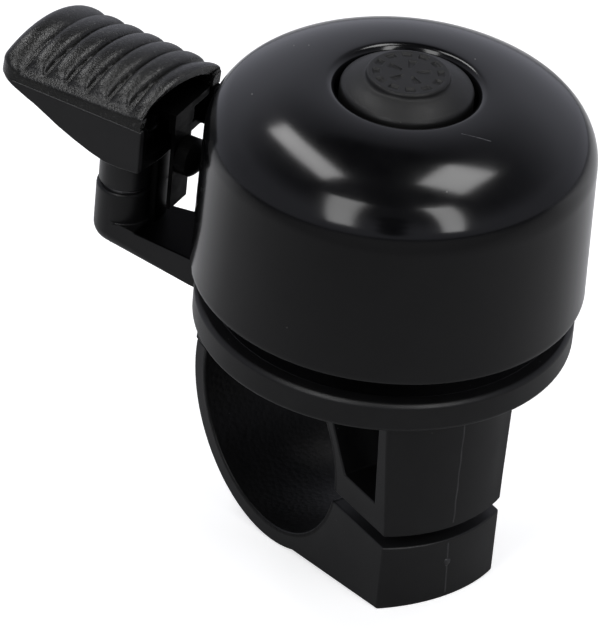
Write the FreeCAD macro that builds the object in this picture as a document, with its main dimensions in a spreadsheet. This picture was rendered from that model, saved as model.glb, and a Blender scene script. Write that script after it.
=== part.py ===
import FreeCAD, Part
import Sketcher
import math
import os

# Mini hammer bell for a 22.2 mm handlebar.
# Frame: origin at the centre of the handlebar bore, +Y along the handlebar,
# +Z up along the bell axis, +X towards the clamp lug. Millimetres.

V = FreeCAD.Vector
doc = FreeCAD.newDocument("HammerBell")
sheet = doc.addObject("Spreadsheet::Sheet", "Dimensions")
sheet.Label = "Dimensions"

DIMS = [
    # clamp
    ("bar_radius", 11.1), ("strap_radius", 12.95), ("clamp_half", 6.67), ("clamp_flare", 0.88),
    ("bell_x", 7.2), ("lug_radius", 14.0), ("slit_high", -0.9), ("slit_low", -2.2),
    ("lug_under", -8.97), ("seam_angle", 172.0), ("seam_gap", 0.15),
    ("clamp_x", 15.4), ("shank_radius", 2.1), ("shank_play", 0.05), ("lug_hole", 2.75),
    ("sink_radius", 4.3), ("sink_floor", -6.6), ("clamp_washer_top", -6.85), ("clamp_washer_low", -7.55),
    ("clamp_washer_radius", 3.7), ("clamp_head_radius", 3.5), ("clamp_head_low", -9.5),
    ("clamp_tip", 9.9), ("window_depth", 11.5),
    # base disc, post and arm
    ("disc_radius", 17.9), ("disc_low", 13.9), ("disc_top", 17.0), ("disc_floor", 15.6), ("disc_lip", 16.3),
    ("post_radius", 4.2), ("post_top", 34.4), ("insert_radius", 2.1), ("insert_low", 27.4),
    ("pivot_x", -16.4), ("pivot_y", -13.95), ("lever_angle", 27.0),
    ("arm_top", 16.8), ("boss_radius", 2.77), ("boss_top", 20.1),
    ("bush_radius", 1.45), ("bush_bore", 1.04), ("pin_radius", 1.0),
    # dome
    ("rim_radius", 18.5), ("rim_low", 19.75), ("wall_radius", 18.23), ("shoulder_low", 33.48),
    ("shoulder_radius", 5.03), ("crown_radius", 15.0), ("lip_radius", 0.9), ("dish_radius", 6.64),
    ("dish_floor", 36.4), ("dome_wall", 1.0), ("dome_hole", 1.8),
    # centre stack
    ("cushion_radius", 5.2), ("upper_cushion_radius", 4.0), ("upper_cushion_top", 37.2),
    ("dome_washer_radius", 3.6), ("dome_washer_top", 37.8), ("dome_head_radius", 2.8), ("dome_head_top", 39.3),
    ("dome_shank", 1.5), ("dome_shank_low", 28.2),
    ("cap_radius", 6.25), ("cap_low", 36.6), ("cap_edge", 40.2), ("cap_disc_radius", 3.9), ("cap_top", 41.74),
    # lever
    ("hub_radius", 2.6), ("hub_low", 20.35), ("hub_top", 29.45), ("coil_radius", 1.5), ("coil_wire", 0.2),
    ("pad_slope", 4.35), ("pad_edge", 32.38), ("pad_crown", 2.1), ("pad_skirt", 1.75),
    ("pad_inner", -5.25), ("pad_tip", 10.4), ("pad_skew", 0.135), ("pad_half_inner", 6.1), ("pad_half_tip", 6.75), ("pad_wall", 1.25),
    ("rib_pitch", 2.2), ("rib_first", 7.57), ("rib_depth", 0.5),
    ("shelf_top", 30.3), ("shelf_thick", 0.8), ("shelf_inner", -5.65),
    ("leaf_thick", 0.4), ("leaf_top", 28.1), ("leaf_low", 19.6),
    ("hammer_radius", 1.9), ("hammer_z", 24.9), ("hammer_y", -0.6),
]


class Q:
    """A length that carries both its value and the sheet expression it comes from."""

    def __init__(self, value, text):
        self.v = float(value)
        self.t = text

    @staticmethod
    def of(other):
        return other if isinstance(other, Q) else Q(other, "%.6f" % float(other))

    def __add__(self, o):
        o = Q.of(o)
        return Q(self.v + o.v, "(%s + %s)" % (self.t, o.t))

    def __radd__(self, o):
        return Q.of(o) + self

    def __sub__(self, o):
        o = Q.of(o)
        return Q(self.v - o.v, "(%s - %s)" % (self.t, o.t))

    def __rsub__(self, o):
        return Q.of(o) - self

    def __mul__(self, o):
        o = Q.of(o)
        return Q(self.v * o.v, "(%s * %s)" % (self.t, o.t))

    def __rmul__(self, o):
        return Q.of(o) * self

    def __truediv__(self, o):
        o = Q.of(o)
        return Q(self.v / o.v, "(%s / %s)" % (self.t, o.t))

    def __neg__(self):
        return Q(-self.v, "(-1 * %s)" % self.t)


D = {}
for row, (alias, value) in enumerate(DIMS, start=1):
    sheet.set("A%d" % row, alias.replace("_", " "))
    sheet.set("B%d" % row, str(value))
    sheet.setAlias("B%d" % row, alias)
    D[alias] = Q(value, "Dimensions." + alias)
doc.recompute()


def root(q):
    return Q(math.sqrt(q.v), "sqrt(%s)" % q.t)


def body(label):
    b = doc.addObject("PartDesign::Body", label)
    b.Label = label
    return b


def plane(b, role):
    for f in b.Origin.OriginFeatures:
        if f.Role == role:
            return f


def sketch(b, name, role, at=None, turn=None):
    """A sketch on one of the body's own planes, moved by `at` and turned by `turn` degrees in that plane."""
    s = b.newObject("Sketcher::SketchObject", name)
    s.AttachmentSupport = [(plane(b, role), "")]
    s.MapMode = "FlatFace"
    if at is not None or turn is not None:
        at = at or (0, 0, 0)
        q = [Q.of(a) for a in at]
        s.AttachmentOffset = FreeCAD.Placement(V(q[0].v, q[1].v, q[2].v),
                                               FreeCAD.Rotation(V(0, 0, 1), Q.of(turn or 0).v))
        for axis, a in zip("xyz", at):
            if isinstance(a, Q):
                s.setExpression("AttachmentOffset.Base." + axis, a.t)
        if isinstance(turn, Q):
            s.setExpression("AttachmentOffset.Rotation.Angle", turn.t)
    return s


def bind(s, kind, args, q, name):
    q = Q.of(q)
    i = s.addConstraint(Sketcher.Constraint(kind, *(list(args) + [q.v])))
    s.renameConstraint(i, name)
    s.setExpression("Constraints." + name, q.t)


def pin_point(s, geo, pos, x, y, tag):
    x, y = Q.of(x), Q.of(y)
    if abs(x.v) < 1e-9:
        s.addConstraint(Sketcher.Constraint("PointOnObject", geo, pos, -2))
    else:
        bind(s, "DistanceX", (-1, 1, geo, pos), x, "px_" + tag)
    if abs(y.v) < 1e-9:
        s.addConstraint(Sketcher.Constraint("PointOnObject", geo, pos, -1))
    else:
        bind(s, "DistanceY", (-1, 1, geo, pos), y, "py_" + tag)


def outline(s, pts, tag="a"):
    """Closed outline. Each entry is (x, y) or (x, y, r): r is the radius of the arc that leaves
    that vertex, positive when it turns left (counter-clockwise) and negative when it turns right."""
    n = len(pts)
    first = s.GeometryCount
    ends = []
    for i, p in enumerate(pts):
        q = pts[(i + 1) % n]
        a = V(Q.of(p[0]).v, Q.of(p[1]).v, 0)
        b = V(Q.of(q[0]).v, Q.of(q[1]).v, 0)
        if len(p) == 2:
            s.addGeometry(Part.LineSegment(a, b), False)
            ends.append((1, 2))
        else:
            r = Q.of(p[2])
            mid = (a + b) * 0.5
            half = (b - a).Length / 2
            left = V(-(b - a).y, (b - a).x, 0).normalize()
            off = math.sqrt(max(r.v * r.v - half * half, 0.0))
            c = mid + left * (off if r.v > 0 else -off)
            aa = math.atan2(a.y - c.y, a.x - c.x)
            ab = math.atan2(b.y - c.y, b.x - c.x)
            circle = Part.Circle(c, V(0, 0, 1), abs(r.v))
            if r.v > 0:
                s.addGeometry(Part.ArcOfCircle(circle, aa, ab if ab > aa else ab + 2 * math.pi), False)
                ends.append((1, 2))
            else:
                s.addGeometry(Part.ArcOfCircle(circle, ab, aa if aa > ab else aa + 2 * math.pi), False)
                ends.append((2, 1))
    for i in range(n):
        j = (i + 1) % n
        s.addConstraint(Sketcher.Constraint("Coincident", first + i, ends[i][1], first + j, ends[j][0]))
    for i, p in enumerate(pts):
        pin_point(s, first + i, ends[i][0], p[0], p[1], "%s%d" % (tag, i))
        if len(p) == 3:
            r = Q.of(p[2])
            bind(s, "Radius", (first + i,), r if r.v > 0 else -r, "rad_%s%d" % (tag, i))


def ring(s, x, y, r, tag="c"):
    x, y, r = Q.of(x), Q.of(y), Q.of(r)
    g = s.addGeometry(Part.Circle(V(x.v, y.v, 0), V(0, 0, 1), r.v), False)
    pin_point(s, g, 3, x, y, tag)
    bind(s, "Radius", (g,), r, "rad_" + tag)


def revolve(b, name, pts, at=None, angle=None):
    s = sketch(b, name + "_sketch", "XZ_Plane", at)
    outline(s, pts)
    f = b.newObject("PartDesign::Revolution", name)
    f.Profile = s
    f.ReferenceAxis = (s, ["V_Axis"])
    f.Angle = 360
    b.Tip = f
    doc.recompute()
    return f


def pad(b, name, s, length, symmetric=False, reverse=False):
    f = b.newObject("PartDesign::Pad", name)
    f.Profile = s
    q = Q.of(length)
    f.Length = q.v
    f.setExpression("Length", q.t)
    if symmetric:
        f.SideType = "Symmetric"
    f.Reversed = reverse
    b.Tip = f
    doc.recompute()
    return f


def cut(b, name, s, length=None, reverse=False, symmetric=False):
    before = b.Shape.Volume
    f = b.newObject("PartDesign::Pocket", name)
    f.Profile = s
    if length is None:
        f.Type = "ThroughAll"
    else:
        q = Q.of(length)
        f.Type = "Length"
        f.Length = q.v
        f.setExpression("Length", q.t)
    if symmetric:
        f.SideType = "Symmetric"
    f.Reversed = reverse
    b.Tip = f
    doc.recompute()
    after = b.Shape.Volume
    if not after < before - 1e-4:
        raise RuntimeError("%s of %s removed nothing" % (name, b.Label))
    return f


def lathe(label, pts, at=None):
    b = body(label)
    revolve(b, label + "_turned", pts, at)
    return b


BELL = (D["bell_x"], 0, 0)
CLAMP = (D["clamp_x"], 0, 0)
LEVER_TURN = D["lever_angle"] + 180


def lever_place(obj):
    """Lever pieces are drawn with X out along the lever and Y towards the clamp's near side."""
    obj.Placement = FreeCAD.Placement(V(D["pivot_x"].v, D["pivot_y"].v, 0),
                                      FreeCAD.Rotation(V(0, 0, 1), LEVER_TURN.v))
    obj.setExpression("Placement.Base.x", D["pivot_x"].t)
    obj.setExpression("Placement.Base.y", D["pivot_y"].t)
    obj.setExpression("Placement.Rotation.Angle", LEVER_TURN.t)


NODES = []

# ---------------------------------------------------------------- gong dome
d = D
p1 = (d["wall_radius"] - d["shoulder_radius"] * (1 - math.cos(math.radians(55.4))),
      d["shoulder_low"] + d["shoulder_radius"] * math.sin(math.radians(55.4)))
p1i = (p1[0] - d["dome_wall"] * math.cos(math.radians(55.4)),
       p1[1] - d["dome_wall"] * math.sin(math.radians(55.4)))
lip_x = d["dish_radius"] + d["lip_radius"]
lip_z = p1[1] + d["crown_radius"] * (1 - math.sin(math.radians(55.4)))
inner_x = d["dish_radius"] + d["dome_wall"]
dome = lathe("gong_dome", [
    (d["rim_radius"], d["rim_low"]),
    (d["wall_radius"], d["shoulder_low"], d["shoulder_radius"]),
    (p1[0], p1[1], d["crown_radius"]),
    (lip_x, lip_z, d["lip_radius"]),
    (d["dish_radius"], lip_z - d["lip_radius"]),
    (d["dish_radius"], d["dish_floor"] + 0.6, Q(-0.6, "-0.6")),
    (d["dish_radius"] - 0.6, d["dish_floor"]),
    (d["dome_hole"], d["dish_floor"]),
    (d["dome_hole"], d["dish_floor"] - d["dome_wall"]),
    (d["dish_radius"] - 0.6, d["dish_floor"] - d["dome_wall"], d["dome_wall"] + 0.6),
    (inner_x, d["dish_floor"] + 0.6),
    (inner_x, lip_z - d["dome_wall"], -(d["crown_radius"] - d["dome_wall"])),
    (p1i[0], p1i[1], -(d["shoulder_radius"] - d["dome_wall"])),
    (d["wall_radius"] - d["dome_wall"], d["shoulder_low"]),
    (d["rim_radius"] - d["dome_wall"], d["rim_low"]),
], BELL)
NODES.append(dome)

# ---------------------------------------------------------------- centre stack under the cap
floor_under = d["dish_floor"] - d["dome_wall"]
NODES.append(lathe("lower_cushion", [
    (2.3, d["post_top"]), (d["cushion_radius"], d["post_top"]),
    (d["cushion_radius"], floor_under), (2.3, floor_under)], BELL))
NODES.append(lathe("upper_cushion", [
    (1.7, d["dish_floor"]), (d["upper_cushion_radius"], d["dish_floor"]),
    (d["upper_cushion_radius"], d["upper_cushion_top"]), (1.7, d["upper_cushion_top"])], BELL))
NODES.append(lathe("dome_washer", [
    (1.65, d["upper_cushion_top"]), (d["dome_washer_radius"], d["upper_cushion_top"]),
    (d["dome_washer_radius"], d["dome_washer_top"]), (1.65, d["dome_washer_top"])], BELL))

screw = body("dome_screw")
revolve(screw, "dome_screw_turned", [
    (0, d["dome_shank_low"]), (d["dome_shank"] - 0.4, d["dome_shank_low"]),
    (d["dome_shank"], d["dome_shank_low"] + 0.4), (d["dome_shank"], d["dome_washer_top"]),
    (d["dome_head_radius"], d["dome_washer_top"]), (d["dome_head_radius"], d["dome_head_top"] - 0.5),
    (d["dome_head_radius"] - 0.6, d["dome_head_top"]), (0, d["dome_head_top"])], BELL)
s = sketch(screw, "drive_sketch", "XY_Plane", (d["bell_x"], 0, d["dome_head_top"]))
outline(s, [(-0.3, -1.6), (0.3, -1.6), (0.3, -0.3), (1.6, -0.3), (1.6, 0.3), (0.3, 0.3),
            (0.3, 1.6), (-0.3, 1.6), (-0.3, 0.3), (-1.6, 0.3), (-1.6, -0.3), (-0.3, -0.3)])
cut(screw, "drive", s, 0.9)
NODES.append(screw)

NODES.append(lathe("post_insert", [
    (d["dome_shank"] + 0.02, d["insert_low"]), (d["insert_radius"], d["insert_low"]),
    (d["insert_radius"], d["post_top"]), (d["dome_shank"] + 0.02, d["post_top"])], BELL))

# domed cap with a plain raised disc; an inner collar grips the screw head
NODES.append(lathe("dome_cap", [
    (5.4, d["cap_low"]), (d["cap_radius"] - 0.25, d["cap_low"]), (d["cap_radius"], d["cap_low"] + 0.3),
    (d["cap_radius"], d["cap_edge"] - 0.3, 0.45),
    (d["cap_radius"] - 0.35, d["cap_edge"] + 0.13, 6.0),
    (d["cap_disc_radius"], d["cap_top"] - 0.55),
    (d["cap_disc_radius"], d["cap_top"] - 0.2, 0.2),
    (d["cap_disc_radius"] - 0.2, d["cap_top"]),
    (0, d["cap_top"]), (0, 40.4), (2.85, 40.4), (2.85, 38.4), (3.5, 38.4), (3.5, 40.1), (5.4, 39.2)], BELL))

# ---------------------------------------------------------------- base plate moulding
base = body("base_plate")
hi = d["slit_high"]
seam = math.radians(172.0)
s = sketch(base, "saddle_sketch", "XZ_Plane")
outline(s, [
    (root(d["bar_radius"] * d["bar_radius"] - hi * hi), hi),
    (d["bell_x"] + d["lug_radius"] + 0.5, hi),
    (d["bell_x"] + d["lug_radius"] + 0.5, d["disc_low"] + 0.5),
    (-8.5, d["disc_low"] + 0.5),
    (-8.5, root(d["strap_radius"] * d["strap_radius"] - 72.25), d["strap_radius"]),
    (d["strap_radius"] * math.cos(seam), d["strap_radius"] * math.sin(seam)),
    (d["bar_radius"] * math.cos(seam), d["bar_radius"] * math.sin(seam), -d["bar_radius"]),
])
pad(base, "saddle", s, 2 * (d["clamp_half"] + d["clamp_flare"]), symmetric=True)

# far side is flat, near side leans out towards the disc
s = sketch(base, "far_trim_sketch", "YZ_Plane")
outline(s, [(d["clamp_half"], -20), (12, -20), (12, 20), (d["clamp_half"], 20)])
f = cut(base, "far_trim", s, 80, symmetric=True)
s = sketch(base, "near_trim_sketch", "YZ_Plane")
outline(s, [(-d["clamp_half"], -20), (-d["clamp_half"], d["slit_high"]),
            (-(d["clamp_half"] + d["clamp_flare"]), d["disc_low"]),
            (-(d["clamp_half"] + d["clamp_flare"]), 20), (-12, 20), (-12, -20)])
cut(base, "near_trim", s, 80, symmetric=True)


def lug_front(b, name):
    """Rounds the lug's front to a cylinder about the bell axis."""
    s = sketch(b, name + "_sketch", "XY_Plane", (0, 0, -20))
    r = d["lug_radius"]
    half = root(r * r - 121)
    outline(s, [(d["bell_x"] + 11, -half), (d["bell_x"] + 24, -half),
                (d["bell_x"] + 24, half), (d["bell_x"] + 11, half, -r)])
    return s


s = lug_front(base, "lug_front")
cut(base, "lug_front", s, 60, reverse=True)

s = sketch(base, "disc_sketch", "XZ_Plane", BELL)
outline(s, [
    (0, d["disc_low"]), (d["disc_radius"] - 0.6, d["disc_low"], 0.6), (d["disc_radius"], d["disc_low"] + 0.6),
    (d["disc_radius"], d["disc_top"] - 0.35), (d["disc_radius"] - 0.35, d["disc_top"]),
    (d["disc_lip"], d["disc_top"]), (d["disc_lip"] - 0.3, d["disc_floor"]),
    (d["post_radius"] + 1.2, d["disc_floor"], -1.2), (d["post_radius"], d["disc_floor"] + 1.2),
    (d["post_radius"] - 0.3, d["post_top"]), (d["insert_radius"], d["post_top"]),
    (d["insert_radius"], d["insert_low"]), (0, d["insert_low"])])
f = base.newObject("PartDesign::Revolution", "disc")
f.Profile = s
f.ReferenceAxis = (s, ["V_Axis"])
f.Angle = 360
base.Tip = f
doc.recompute()

# side arm that widens into the disc, and the pivot boss at its end
s = sketch(base, "arm_sketch", "XY_Plane", (d["pivot_x"], d["pivot_y"], d["disc_low"]), LEVER_TURN)
outline(s, [(0, -d["boss_radius"]), (0, d["boss_radius"]), (-13.5, d["boss_radius"] + 1.3),
            (-13.5, -(d["boss_radius"] + 2.1))])
pad(base, "arm", s, d["arm_top"] - d["disc_low"])
s = sketch(base, "boss_sketch", "XZ_Plane", (d["pivot_x"], 0, -d["pivot_y"]))
outline(s, [(0, d["disc_low"]), (d["boss_radius"] - 1.6, d["disc_low"], 1.6), (d["boss_radius"], d["disc_low"] + 1.6),
            (d["boss_radius"], d["boss_top"] - 0.15), (d["boss_radius"] - 0.15, d["boss_top"]), (0, d["boss_top"])])
f = base.newObject("PartDesign::Revolution", "boss")
f.Profile = s
f.ReferenceAxis = (s, ["V_Axis"])
f.Angle = 360
base.Tip = f
doc.recompute()

s = sketch(base, "bush_bore_sketch", "XY_Plane", (d["pivot_x"], d["pivot_y"], d["boss_top"]), LEVER_TURN)
ring(s, 0, 0, d["bush_radius"])
cut(base, "bush_bore", s, 10)
s = sketch(base, "pin_sink_sketch", "XY_Plane", (d["pivot_x"], d["pivot_y"], 15.0), LEVER_TURN)
ring(s, 0, 0, 2.0)
cut(base, "pin_sink", s, 5)

# clamp screw's hole, then the hollow in the lug with its side window
s = sketch(base, "clamp_hole_sketch", "XY_Plane", (d["clamp_x"], 0, 5))
ring(s, 0, 0, d["shank_radius"] + d["shank_play"])
cut(base, "clamp_hole", s, 10)
s = sketch(base, "window_sketch", "XZ_Plane", (0, 0, 8))
outline(s, [(12.7, 2.0), (17.65, 2.0), (17.8, 11.6), (8.6, 11.6), (10.7, 6.2)])
cut(base, "window", s, d["window_depth"])
NODES.append(base)

# ---------------------------------------------------------------- strap with the lower lug
strap = body("clamp_strap")
lo = d["slit_low"]
seam2 = math.radians(172.0 + math.degrees(0.15 / 12.02))
cut_x = Q(5.42, "5.42")
s = sketch(strap, "strap_sketch", "XZ_Plane")
outline(s, [
    (d["bar_radius"] * math.cos(seam2), d["bar_radius"] * math.sin(seam2), d["bar_radius"]),
    (root(d["bar_radius"] * d["bar_radius"] - lo * lo), lo),
    (d["bell_x"] + d["lug_radius"] + 0.5, lo),
    (d["bell_x"] + d["lug_radius"] + 0.5, d["lug_under"]),
    (cut_x, -root(d["strap_radius"] * d["strap_radius"] - cut_x * cut_x), -d["strap_radius"]),
    (d["strap_radius"] * math.cos(seam2), d["strap_radius"] * math.sin(seam2)),
])
pad(strap, "strap", s, 2 * d["clamp_half"], symmetric=True)
s = lug_front(strap, "lower_lug_front")
cut(strap, "lower_lug_front", s, 60, reverse=True)
s = sketch(strap, "screw_way_sketch", "XY_Plane", (d["clamp_x"], 0, 0))
ring(s, 0, 0, d["lug_hole"])
cut(strap, "screw_way", s, 30)
s = sketch(strap, "head_sink_sketch", "XY_Plane", (d["clamp_x"], 0, d["sink_floor"]))
ring(s, 0, 0, d["sink_radius"])
cut(strap, "head_sink", s, 20)
NODES.append(strap)

# ---------------------------------------------------------------- clamp screw and washer
NODES.append(lathe("clamp_washer", [
    (d["shank_radius"] + 0.06, d["clamp_washer_low"]), (d["clamp_washer_radius"], d["clamp_washer_low"]),
    (d["clamp_washer_radius"], d["clamp_washer_top"]), (d["shank_radius"] + 0.06, d["clamp_washer_top"])], CLAMP))
screw = body("clamp_screw")
revolve(screw, "clamp_screw_turned", [
    (0, d["clamp_head_low"]), (d["clamp_head_radius"] - 0.9, d["clamp_head_low"]),
    (d["clamp_head_radius"], d["clamp_head_low"] + 0.9), (d["clamp_head_radius"], d["clamp_washer_low"]),
    (d["shank_radius"], d["clamp_washer_low"]), (d["shank_radius"], d["clamp_tip"] - 1.2),
    (0.6, d["clamp_tip"]), (0, d["clamp_tip"])], CLAMP)
s = sketch(screw, "cross_sketch", "XY_Plane", (d["clamp_x"], 0, d["clamp_head_low"]))
outline(s, [(-0.45, -2.1), (0.45, -2.1), (0.45, -0.45), (2.1, -0.45), (2.1, 0.45), (0.45, 0.45),
            (0.45, 2.1), (-0.45, 2.1), (-0.45, 0.45), (-2.1, 0.45), (-2.1, -0.45), (-0.45, -0.45)])
cut(screw, "cross", s, 1.3, reverse=True)
NODES.append(screw)

# ---------------------------------------------------------------- pivot hardware
NODES.append(lathe("pivot_bush", [
    (d["bush_bore"], 15.0), (d["bush_radius"], 15.0), (d["bush_radius"], d["boss_top"]),
    (d["bush_bore"], d["boss_top"])]))
lever_place(NODES[-1])
NODES.append(lathe("pivot_washer", [
    (1.1, d["boss_top"]), (2.3, d["boss_top"]), (2.3, d["boss_top"] + 0.2), (1.1, d["boss_top"] + 0.2)]))
lever_place(NODES[-1])
NODES.append(lathe("pivot_pin", [
    (0, 14.0), (1.6, 14.0), (1.75, 14.15), (1.75, 14.95), (d["pin_radius"], 14.95),
    (d["pin_radius"], d["shelf_top"] + 0.05), (0.75, d["shelf_top"] + 0.05), (0.75, d["shelf_top"] + 0.5),
    (d["pin_radius"], d["shelf_top"] + 0.5), (d["pin_radius"], d["shelf_top"] + 0.8),
    (0.8, d["shelf_top"] + 1.0), (0, d["shelf_top"] + 1.0)]))
lever_place(NODES[-1])

clip = body("pivot_clip")
s = sketch(clip, "clip_ring_sketch", "XY_Plane", (0, 0, d["shelf_top"] + 0.08))
ring(s, 0, 0, 1.8, "o")
ring(s, 0, 0, 0.78, "i")
pad(clip, "clip_ring", s, 0.36)
s = sketch(clip, "clip_mouth_sketch", "XY_Plane", (0, 0, d["shelf_top"] + 2))
outline(s, [(0.2, -0.55), (3, -0.9), (3, 0.9), (0.2, 0.55)])
cut(clip, "clip_mouth", s, 5)
lever_place(clip)
NODES.append(clip)

# torsion spring: a plain coil on the pin, inside the hub
coil = doc.addObject("Part::Feature", "lever_spring")
coil.Label = "lever_spring"
turns_pitch = 0.46
helix = Part.makeHelix(turns_pitch, turns_pitch * 8, d["coil_radius"].v)
wire_section = Part.Wire([Part.Circle(V(d["coil_radius"].v, 0, 0), V(0, 1, 0), d["coil_wire"].v).toShape()])
sweep = Part.Wire(helix.Edges).makePipeShell([wire_section], True, True)
coil.Shape = sweep
lever_place(coil)
coil.Placement = FreeCAD.Placement(V(D["pivot_x"].v, D["pivot_y"].v, D["hub_low"].v + 0.55),
                                   FreeCAD.Rotation(V(0, 0, 1), LEVER_TURN.v))
coil.setExpression("Placement.Base.z", (D["hub_low"] + 0.55).t)
NODES.append(coil)

# ---------------------------------------------------------------- lever body
lever = body("lever_body")
slope = math.tan(math.radians(4.35))


def parting(x):
    return d["pad_edge"] - (d["pad_skirt"] / math.cos(math.radians(4.35)) + 0.01) + x * slope


s = sketch(lever, "lever_side_sketch", "XZ_Plane")
outline(s, [
    (d["pad_inner"] - 1, parting(-6.25)), (d["pad_inner"] - 1, 25.75), (-2.4, 25.6), (-0.8, 25.75), (0.8, 26.3),
    (2.5, 27.05), (4.2, 27.9), (5.9, 28.9), (7.6, 29.95), (9.4, 30.9), (10.7, parting(10.7))])
pad(lever, "lever_side", s, 2 * (d["pad_half_tip"] + 0.5), symmetric=True)


def plan(s, grow=0.0, tag="a"):
    """The lever's outline from above, with rounded tip corners. Its ends run askew: the near side reaches further out."""
    hi_, ht, tip, k = d["pad_half_inner"] + grow, d["pad_half_tip"] + grow, d["pad_tip"] + grow, d["pad_skew"]
    x0 = d["pad_inner"] - 0.001
    outline(s, [(x0 - k * hi_, -hi_), (tip - k * ht - 2.185, -ht, 2.5), (tip - k * ht + 0.293, -(ht - 2.165)),
                (tip + k * ht - 0.307, ht - 2.267, 2.0), (tip + k * ht - 2.288, ht), (x0 + k * hi_, hi_)], tag)


s = sketch(lever, "lever_plan_sketch", "XY_Plane", (0, 0, 40))
plan(s)
outline(s, [(-12, -12), (16, -12), (16, 12), (-12, 12)], "b")
cut(lever, "lever_plan", s, 30)

# hollow of the lever, open towards the dome
s = sketch(lever, "lever_hollow_sketch", "XZ_Plane")
outline(s, [(-8, 33), (-8, 24), (-4.9, 24), (-4.9, 26.92), (-1.0, 26.95), (0.6, 27.45), (2.3, 28.2), (4.0, 29.05), (5.6, 30.0), (7.4, 31.1), (8.2, 33)])
cut(lever, "lever_hollow", s, 2 * (d["pad_half_inner"] - 1.15), symmetric=True)

s = sketch(lever, "hub_sketch", "XY_Plane", (0, 0, d["hub_low"]))
ring(s, 0, 0, d["hub_radius"])
pad(lever, "hub", s, d["hub_top"] - d["hub_low"])
# wall that guards the hammer side of the boss, and webs inside the hollow
s = sketch(lever, "guard_sketch", "XY_Plane", (0, 0, 17.3))
a0, a1 = math.radians(163), math.radians(252)
outline(s, [(3.2 * math.cos(a0), 3.2 * math.sin(a0), 3.2), (3.2 * math.cos(a1), 3.2 * math.sin(a1)),
            (4.1 * math.cos(a1), 4.1 * math.sin(a1), -4.1), (4.1 * math.cos(a0), 4.1 * math.sin(a0))])
pad(lever, "guard", s, 9.2)
s = sketch(lever, "guard_web_sketch", "XY_Plane", (0, 0, 21.2))
outline(s, [(-3.6, -2.0), (-1.9, -1.3), (-1.3, -1.9), (-2.6, -3.1)])
pad(lever, "guard_web", s, 5.4)
s = sketch(lever, "rivet_post_sketch", "XY_Plane", (0, 0, 27.56))
ring(s, 2.2, -3.3, 1.25)
pad(lever, "rivet_post", s, d["hub_top"] - 27.56)
s = sketch(lever, "spring_bore_sketch", "XY_Plane", (0, 0, d["hub_low"] - 1))
ring(s, 0, 0, 1.95)
cut(lever, "spring_bore", s, 5.8, reverse=True)
s = sketch(lever, "pin_bore_sketch", "XY_Plane", (0, 0, 40))
ring(s, 0, 0, d["pin_radius"] + 0.01)
cut(lever, "pin_bore", s, 30)
s = sketch(lever, "rivet_bore_sketch", "XY_Plane", (0, 0, 31))
ring(s, 2.2, -3.3, 0.61)
cut(lever, "rivet_bore", s, 3.4)
lever_place(lever)
NODES.append(lever)

# ---------------------------------------------------------------- ribbed thumb pad
thumb = body("thumb_pad")
half = (d["pad_half_inner"] + d["pad_half_tip"]) / 2
crown_r = (half * half + d["pad_crown"] * d["pad_crown"]) / (2 * d["pad_crown"])
axis_z = d["pad_crown"] - crown_r
grooves = [d["rib_first"] - d["rib_pitch"] * k for k in range(6)]
low_r = crown_r - d["rib_depth"]
bump = (d["rib_pitch"] * d["rib_pitch"] / 4 + d["rib_depth"] * d["rib_depth"]) / (2 * d["rib_depth"])
reach = d["pad_tip"] + d["pad_skew"] * d["pad_half_tip"]
back = d["pad_inner"] - d["pad_skew"] * d["pad_half_inner"] - 0.01
prof = [(back, crown_r - 1.7),
        (d["pad_tip"] - 2.3, crown_r - 1.7),
        (d["pad_tip"] - 2.3, crown_r - 3.9),
        (reach + 0.4, crown_r - 3.9),
        (reach, crown_r - 1.6, 2.0),
        (reach - 1.5, crown_r - 0.05, 9.0),
        (grooves[0], low_r, bump)]
for k in range(1, 6):
    prof.append((grooves[k], low_r, bump) if k < 5 else (grooves[k], low_r, 3.0))
prof.append((back, crown_r - 0.35))
s = sketch(thumb, "rib_sketch", "XZ_Plane", (0, axis_z, 0))
outline(s, prof)
f = thumb.newObject("PartDesign::Revolution", "rib_vault")
f.Profile = s
f.ReferenceAxis = (s, ["H_Axis"])
f.Angle = 84
try:
    f.Midplane = True
except Exception:
    f.SideType = "Symmetric"
thumb.Tip = f
doc.recompute()
s = sketch(thumb, "skirt_sketch", "XY_Plane", (0, 0, -d["pad_skirt"]))
hi_, ht, tip, w, k = d["pad_half_inner"], d["pad_half_tip"], d["pad_tip"], d["pad_wall"], d["pad_skew"]
x0 = d["pad_inner"]
outline(s, [(back - 0.5, -(ht + 0.5)), (reach + 0.5, -(ht + 0.5)), (reach + 0.5, ht + 0.5), (back - 0.5, ht + 0.5),
            (back - 0.5, hi_ - w), (x0, hi_ - w), (tip - 3.4 + k * (ht - w), ht - w),
            (tip - 1.35 + k * (ht - 3.4), ht - 3.4), (tip - 1.35 - k * (ht - 3.4), -(ht - 3.4)),
            (tip - 3.2 - k * (ht - w), -(ht - w)), (x0, -(hi_ - w)), (back - 0.5, -(hi_ - w))])
pad(thumb, "skirt", s, d["pad_skirt"] - 0.1)
s = sketch(thumb, "thumb_plan_sketch", "XY_Plane", (0, 0, 10))
plan(s)
outline(s, [(-14, -14), (18, -14), (18, 14), (-14, 14)], "b")
cut(thumb, "thumb_plan", s, 30)
s = sketch(thumb, "thumb_foot_sketch", "XZ_Plane")
outline(s, [(-8, -d["pad_skirt"]), (-8, -9), (14, -9), (14, -d["pad_skirt"])])
cut(thumb, "thumb_foot", s, 40, symmetric=True)
tilt = FreeCAD.Placement(V(0, 0, D["pad_edge"].v), FreeCAD.Rotation(V(0, 1, 0), -D["pad_slope"].v))
swing = FreeCAD.Placement(V(D["pivot_x"].v, D["pivot_y"].v, 0), FreeCAD.Rotation(V(0, 0, 1), LEVER_TURN.v))
thumb.Placement = swing.multiply(tilt)
NODES.append(thumb)

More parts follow.
